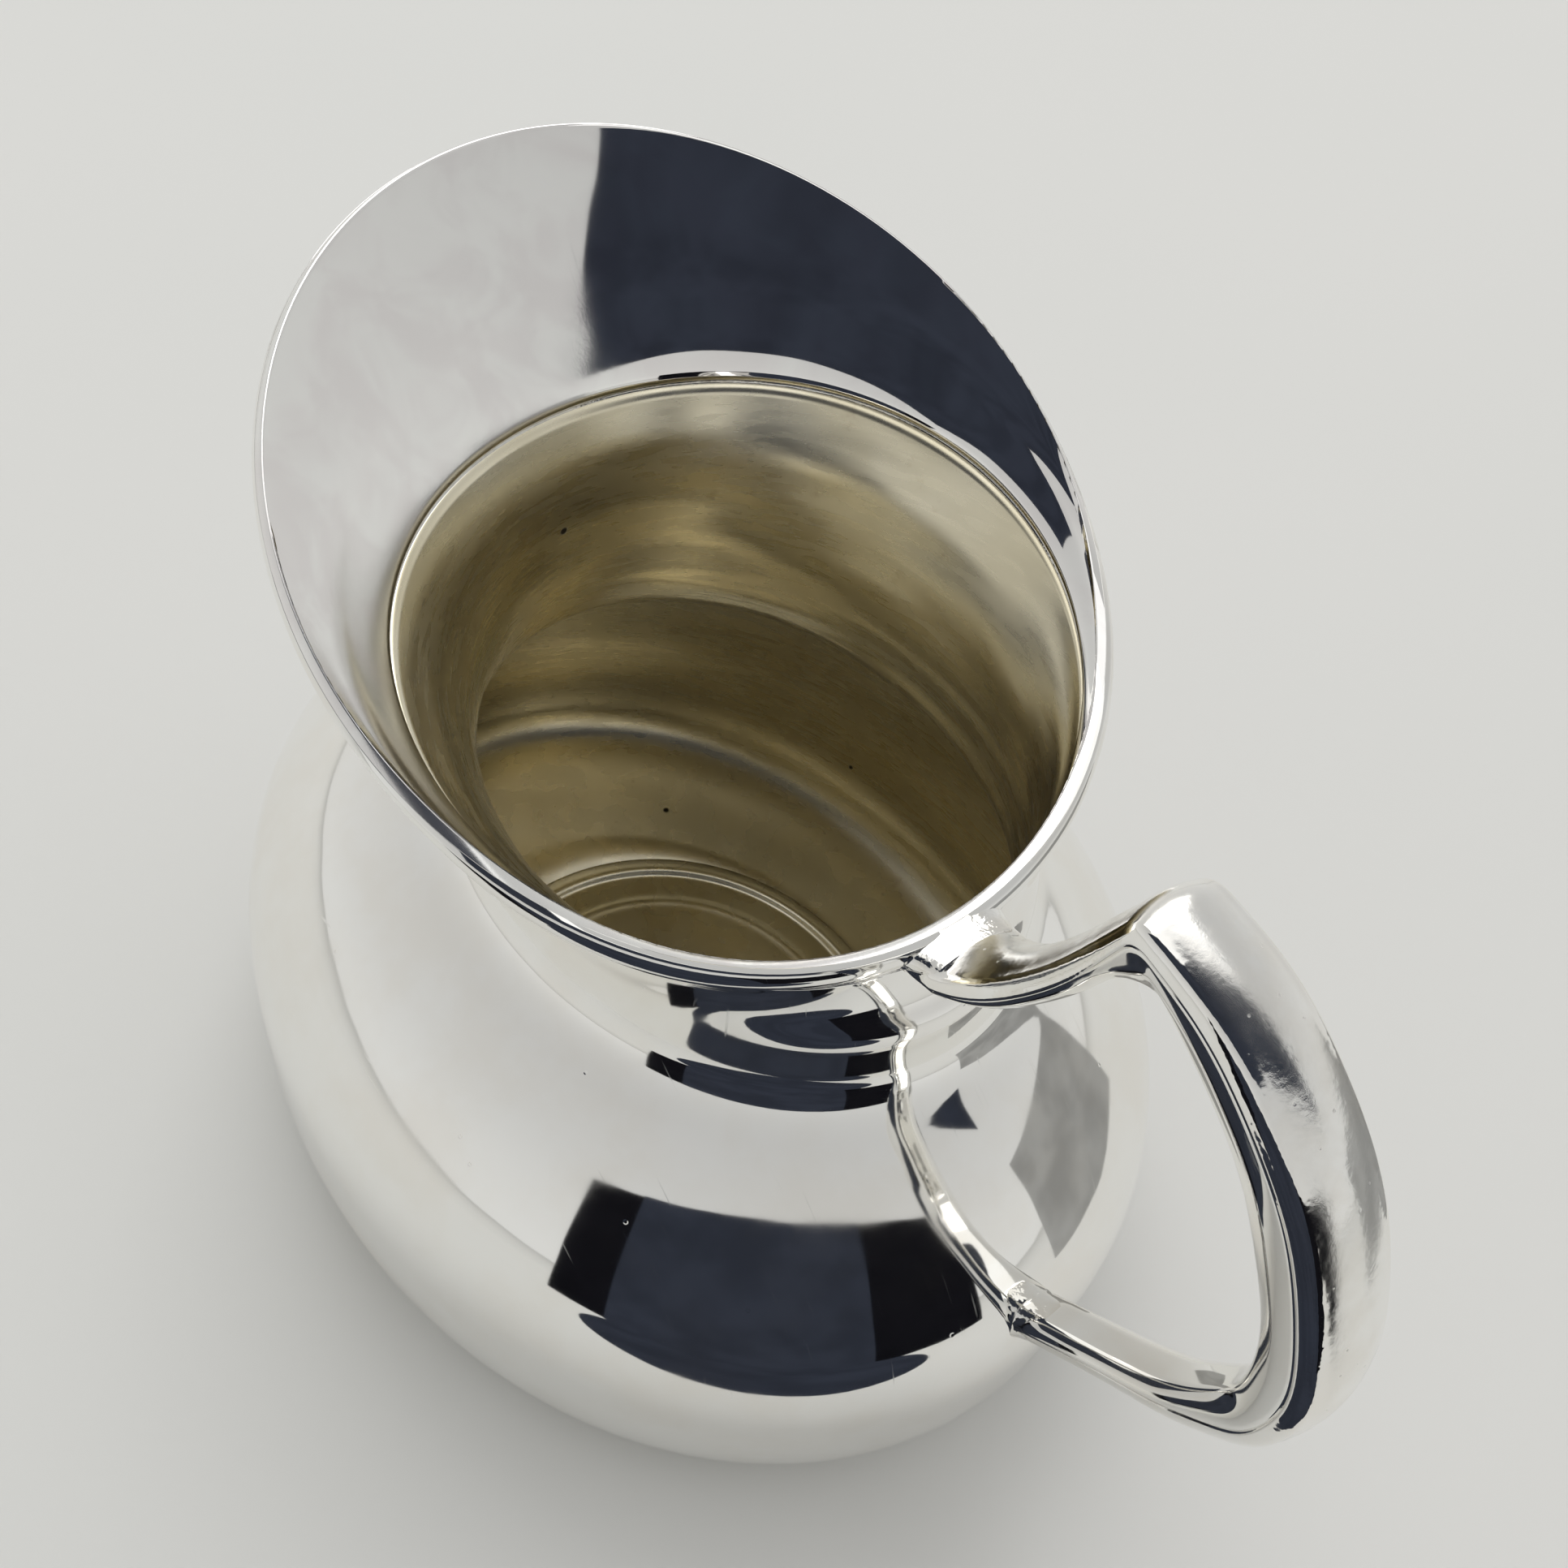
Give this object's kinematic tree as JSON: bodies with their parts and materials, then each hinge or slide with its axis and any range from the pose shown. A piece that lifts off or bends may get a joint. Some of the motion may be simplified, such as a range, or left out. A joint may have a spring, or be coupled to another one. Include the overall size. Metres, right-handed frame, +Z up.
{
  "type": "cream jug",
  "caption": "Oval-bodied silver jug with a wide flared pouring lip, an upswept hollow loop handle and a low ring foot.",
  "frame": {"origin": "middle of the flat underside of the foot", "axes": "+Z up; +X towards the handle, -X towards the pouring lip; XZ is the mirror plane"},
  "size_m": [0.1234, 0.0842, 0.0931],
  "materials": {
    "polished_silver": "bright polished silver",
    "gilt_inside": "bright silver outside, satin gold wash inside",
    "satin_gilt": "satin gold wash",
    "solder": "silver solder, polished over"
  },
  "bodies": {
    "root": {"bowl": "gilt_inside", "lip": "polished_silver", "lip_solder": "solder", "rim_wire": "polished_silver", "base_disc": "satin_gilt", "foot_ring": "polished_silver", "foot_solder": "solder", "handle_back": "polished_silver", "handle_channel": "polished_silver", "upper_solder": "solder", "lower_solder": "solder"}
  },
  "joints": []
}
